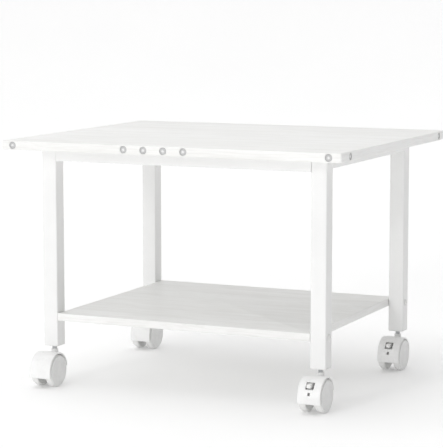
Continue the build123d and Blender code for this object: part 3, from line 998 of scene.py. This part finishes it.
def hood_web():
    """The middle plate between the wheels, which holds the axle and the stem."""
    reach = HOOD_RADIUS - HOOD_WALL / 2
    front_angle = math.degrees(math.acos(WEB_FRONT / reach))
    sweep = WEB_BACK_ANGLE - front_angle
    outline = [(-AXLE_OFFSET - WEB_FRONT, WHEEL_RADIUS)]
    outline += [about_axle(reach, front_angle + sweep * i / WEB_STEPS)
                for i in range(WEB_STEPS + 1)]
    outline.append((outline[-1][0], WHEEL_RADIUS))
    outline += [about_axle(WEB_HUB_RADIUS, 180 + 180 * i / WEB_HUB_STEPS)
                for i in range(WEB_HUB_STEPS + 1)]
    return slab_object("hood_web", outline, WEB_HALF_WIDTH, MATERIALS["hood_plastic"])


def hood_boss(top):
    """The stepped neck that turns on the stem, cleared where the wheels pass below it."""
    profile = [(BOSS_BOTTOM, BOSS_RADIUS - BOSS_CHAMFER), (BOSS_BOTTOM + BOSS_CHAMFER, BOSS_RADIUS)]
    for radius, z, size, start, end in (
            (BOSS_RADIUS - BOSS_RIM, BOSS_TOP - BOSS_RIM, BOSS_RIM, 0, 90),
            (NECK_RADIUS + NECK_FILLET, BOSS_TOP + NECK_FILLET, NECK_FILLET, 270, 180),
            (NECK_RADIUS - BOSS_RIM, top - BOSS_RIM, BOSS_RIM, 0, 90)):
        profile += [(along, r) for r, along in arc((radius, z), size, start, end, RIM_STEPS)]
    bm = bmesh.new()
    lathe(bm, profile, (0, 0, 0), Z_AXIS, FINE)
    boss = new_object("hood_boss", bm, MATERIALS["hood_plastic"])
    cavity = rod_object("cavity", (-HOOD_RADIUS, -AXLE_OFFSET, WHEEL_RADIUS), 2 * HOOD_RADIUS,
                        X_AXIS, HOOD_RADIUS - HOOD_WALL)
    combine(boss, cavity, "DIFFERENCE")
    return boss


def hood_shape(braked):
    """One hood with its stem on the Z axis, ready to be copied to its corner."""
    low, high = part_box("front_right_hood")
    hood = hood_cover((high.x - low.x) / 2)
    combine(hood, hood_web(), "UNION")
    combine(hood, hood_boss(high.z), "UNION")
    for bottom, height, radius in ((BORE_BOTTOM, BORE_HEIGHT, STEM_BORE),
                                   (POCKET_BOTTOM, POCKET_HEIGHT, POCKET_RADIUS)):
        cutter = rod_object("cutter", (0, 0, bottom), height, Z_AXIS, radius, COARSE)
        combine(hood, cutter, "DIFFERENCE")
    if braked:
        stem = body_place("front_right_swivel_turn")
        pivot = body_place("front_right_brake_press") - Vector((stem.x, stem.y, 0))
        front = pivot.y - 2 * HOOD_RADIUS
        low_z = pivot.z - WINDOW_BELOW
        high_z = pivot.z + WINDOW_ABOVE
        peep_z = WHEEL_RADIUS + PEEP_ABOVE_AXLE
        cuts = (
            (WINDOW_HALF_WIDTH, pivot.y - WINDOW_DEPTH_GAP, low_z, high_z),
            (SLOT_HALF_WIDTH, pivot.y + SLOT_BACK_GAP, low_z, high_z),
            (PEEP_HALF_WIDTH, -AXLE_OFFSET - WEB_FRONT,
             peep_z - PEEP_HALF_HEIGHT, peep_z + PEEP_HALF_HEIGHT),
        )
        for half, back, low_edge, high_edge in cuts:
            cutter = box_object("cutter", (-half, front, low_edge), (half, back, high_edge))
            combine(hood, cutter, "DIFFERENCE")
    bevel(hood, HOOD_BEVEL)
    return hood


def body_place(joint_name):
    """Where a joint's axis passes, in the row frame."""
    joint = next(j for j in frame["joints"] if j["name"] == joint_name)
    return Vector(joint["pos_m"])


def make_hoods():
    shapes = {braked: hood_shape(braked) for braked in (False, True)}
    for corner in CORNERS:
        mesh = shapes[corner in BRAKED].data.copy()
        stem = body_place(f"{corner}_swivel_turn")
        mesh.transform(Matrix.Translation((stem.x, stem.y, 0)))
        obj = place_object(f"{corner}_hood_shell", mesh)
        settle(obj, f"{corner}_swivel", [f"{corner}_hood"])
    for source in shapes.values():
        bpy.data.objects.remove(source)


def on_axle(node, corner, side):
    """A wheel part's inner face where the axle passes, the way its outer face looks,
    and its width and radius."""
    low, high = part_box(node)
    axle = body_place(f"{corner}_{side}_wheel_roll")
    sign = 1 if side == "right" else -1
    start = Vector((low.x if sign > 0 else high.x, axle.y, axle.z))
    return start, X_AXIS * sign, high.x - low.x, (high.z - low.z) / 2


def make_wheel(corner, side):
    """A nylon wheel: round shoulders, a moulding line round the tread, and on the
    inner side a stepped hub."""
    node = f"{corner}_wheel_{side}"
    start, outward, width, _ = on_axle(node, corner, side)
    middle = width / 2
    tread = WHEEL_RADIUS - PARTING_RISE
    shoulder = tread - WHEEL_ROUND
    profile = [(0.0, WHEEL_BORE)]
    profile += [(depth * MM, WHEEL_HUB + out * MM) for depth, out in HUB_FACE]
    profile += [(depth * MM, WHEEL_RADIUS - inset * MM) for depth, inset in RIM_FACE]
    profile += arc((WHEEL_ROUND, shoulder), WHEEL_ROUND, 180, 90, 6)
    profile += [(middle - PARTING_HALF, tread), (middle, WHEEL_RADIUS),
                (middle + PARTING_HALF, tread)]
    profile += arc((width - WHEEL_ROUND, shoulder), WHEEL_ROUND, 90, 20, 5)
    profile += [(width, WHEEL_RADIUS - WHEEL_LIP), (width, WHEEL_BORE)]
    bm = bmesh.new()
    lathe(bm, profile, start, outward, FINE, hollow=True)
    obj = new_object(f"{corner}_{side}_tread", bm, MATERIALS["wheel_plastic"])
    settle(obj, f"{corner}_{side}_wheel", [node])


def make_disc(corner, side):
    """The wheel's outer cover: a shallow dished face inside a raised rim."""
    node = f"{corner}_wheel_disc_{side}"
    start, outward, thick, radius = on_axle(node, corner, side)
    profile = [(0.0, DISC_TIP), (0.0, radius - DISC_SOFT), (DISC_SOFT, radius)]
    profile += arc((thick - DISC_ROUND, radius - DISC_ROUND), DISC_ROUND, 90, 0, RIM_STEPS)
    profile += [(thick - depth * MM, radius - inset * MM) for depth, inset in DISC_RIM]
    sunk, edge_inset = (value * MM for value in DISC_RIM[-1])
    for i in range(1, DISC_DISH_STEPS + 1):
        share = i / DISC_DISH_STEPS
        reach = (radius - edge_inset) * (1 - share) + DISC_DISH_END * share
        profile.append((thick - sunk + DISC_DOME * math.sin(share * math.pi / 2), reach))
    profile += [(thick - DISC_EYE_DEPTH, DISC_EYE_RADIUS), (thick - DISC_EYE_DEPTH, DISC_TIP)]
    bm = bmesh.new()
    lathe(bm, profile, start, outward, FINE)
    obj = new_object(f"{corner}_{side}_disc", bm, MATERIALS["disc_plastic"])
    settle(obj, f"{corner}_{side}_wheel", [node])


def make_pin(name, node, body, chamfer):
    """A plain steel pin with chamfered ends."""
    low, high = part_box(node)
    radius = (high.z - low.z) / 2
    length = high.x - low.x
    start = Vector((low.x, (low.y + high.y) / 2, (low.z + high.z) / 2))
    profile = [(0, radius - chamfer), (chamfer, radius), (length - chamfer, radius),
               (length, radius - chamfer)]
    bm = bmesh.new()
    lathe(bm, profile, start, X_AXIS, COARSE)
    settle(new_object(name, bm, MATERIALS["zinc_steel"]), body, [node])


def make_lever(corner):
    """The brake tab: an eye round its pin and a nose with three grip ribs on top."""
    node = f"{corner}_brake_lever"
    low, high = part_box(node)
    pivot = body_place(f"{corner}_brake_press")
    eye = high.y - pivot.y
    nose = low.y - pivot.y
    arm = LEVER_HALF_THICKNESS
    outline = [(0.0, -eye)] + arc((0, 0), eye, -75, 90, 11) + [(-eye, arm)]
    start = nose + RIB_START + RIB_COUNT * RIB_PITCH
    outline.append((start, arm))
    for i in range(RIB_COUNT):
        y = start - i * RIB_PITCH
        outline += [(y - 0.3 * RIB_PITCH, arm - RIB_DEPTH), (y - 0.7 * RIB_PITCH, arm - RIB_DEPTH),
                    (y - RIB_PITCH, arm)]
    outline += [(nose + NOSE_TOP[0], arm), (nose, arm - NOSE_TOP[1]),
                (nose, -arm + NOSE_LOW[1]), (nose + NOSE_LOW[0], -arm), (-eye, -arm)]
    placed = [(pivot.y + y, pivot.z + z) for y, z in outline]
    obj = slab_object(f"{corner}_brake_tab", placed, (high.x - low.x) / 2,
                      MATERIALS["lever_plastic"])
    obj.data.transform(Matrix.Translation((pivot.x, 0, 0)))
    bore = rod_object("bore", pivot - X_AXIS * EYE_BORE_REACH, 2 * EYE_BORE_REACH, X_AXIS,
                      EYE_BORE, COARSE)
    combine(obj, bore, "DIFFERENCE")
    bevel(obj, LEVER_BEVEL)
    settle(obj, f"{corner}_brake", [node])


def make_casters():
    make_stems()
    make_hoods()
    for corner in CORNERS:
        swivel = f"{corner}_swivel"
        make_pin(f"{corner}_axle_pin", f"{corner}_axle", swivel, AXLE_CHAMFER)
        for side in ("left", "right"):
            make_wheel(corner, side)
            make_disc(corner, side)
        if corner in BRAKED:
            make_pin(f"{corner}_brake_pivot", f"{corner}_brake_pin", swivel, PIVOT_CHAMFER)
            make_lever(corner)


def finish_snap_rings():
    """The snap rings stay as CAD shapes, and take the stems' material."""
    rings = frame["nodes"]["stem_snap_rings"]
    rings.data.materials.clear()
    rings.data.materials.append(MATERIALS["zinc_steel"])


# ------------------------------------------------------------------------- stage
def make_stage():
    """A pale floor that curves up into a backdrop, far behind the stand. The floor glows, faintly
    near the stand and more strongly farther off: painted light that whitens it and fades the
    shadows cast on it.
    """
    outline = [(FLOOR_FRONT, 0.0)]
    outline += arc((FLOOR_BEND, FLOOR_CURVE), FLOOR_CURVE, -90, 0, FLOOR_STEPS)
    outline.append((FLOOR_BEND + FLOOR_CURVE, BACKDROP_HEIGHT))
    bm = bmesh.new()
    rings = [add_ring(bm, [(x, y, z) for y, z in outline])
             for x in (-FLOOR_HALF_WIDTH, FLOOR_HALF_WIDTH)]
    skin(bm, rings, closed_rings=False)
    shader = Shader("studio_floor", (0.94, 0.94, 0.94), 0.85)
    shader.set(shader.bsdf, "Specular IOR Level", 0.1)
    mottle = shader.noise(shader.coords, 2.0, detail=2.0)
    tint = shader.ramp(mottle, (0.935, 0.935, 0.935), (0.945, 0.945, 0.945), NOISE_LOW, NOISE_HIGH)
    # Painted light: the floor glows more the farther it is from the stand.
    distance = shader.node("ShaderNodeVectorMath", operation="LENGTH")
    shader.link(shader.coords, distance.inputs[0])
    glow = shader.remap(distance.outputs["Value"], *GLOW_RANGE, *GLOW_REACH)
    shader.set(shader.bsdf, "Emission Color", (*WHITE, 1))
    shader.link(glow, shader.bsdf.inputs["Emission Strength"])
    floor = new_object("studio_floor", bm, shader.finish(tint))
    shade(floor, FLOOR_CREASE)
    floor.data.transform(Matrix.Rotation(math.radians(CAMERA_YAW), 4, "Z"))


def area_light(name, place, target, size, power):
    light = bpy.data.lights.new(name, "AREA")
    light.shape = "RECTANGLE"
    light.size, light.size_y = size
    light.energy = power
    obj = place_object(name, light)
    obj.location = place
    obj.rotation_euler = (Vector(target) - Vector(place)).to_track_quat("-Z", "Y").to_euler()


def make_lights():
    """Three area lights, and a white sky that is dimmer towards one side."""
    for light in AREA_LIGHTS:
        area_light(*light)
    world = bpy.data.worlds.new("studio")
    world.use_nodes = True
    tree = world.node_tree
    background = tree.nodes["Background"]
    background.inputs["Color"].default_value = (*WHITE, 1)
    direction = tree.nodes.new("ShaderNodeTexCoord")
    toward = tree.nodes.new("ShaderNodeVectorMath")
    toward.operation = "DOT_PRODUCT"
    toward.inputs[1].default_value = SHADE_SIDE
    fall = tree.nodes.new("ShaderNodeMapRange")
    for socket, value in (("From Min", 0.0), ("From Max", SHADE_FULL),
                          ("To Min", SKY_BRIGHT), ("To Max", SKY_DIM)):
        fall.inputs[socket].default_value = value
    tree.links.new(direction.outputs["Generated"], toward.inputs[0])
    tree.links.new(toward.outputs["Value"], fall.inputs["Value"])
    tree.links.new(fall.outputs["Result"], background.inputs["Strength"])
    bpy.context.scene.world = world
    bpy.context.scene.view_settings.view_transform = "Standard"


def make_camera():
    camera = bpy.data.cameras.new("camera")
    camera.lens = CAMERA_LENS
    camera.clip_end = CAMERA_FAR
    obj = place_object("camera", camera)
    obj.location = CAMERA_PLACE
    obj.rotation_euler = (math.radians(90 - CAMERA_PITCH), 0, math.radians(CAMERA_YAW))
    bpy.context.scene.camera = obj


make_boards()
make_frame()
make_inserts()
make_screws()
make_casters()
finish_snap_rings()
make_stage()
make_lights()
make_camera()
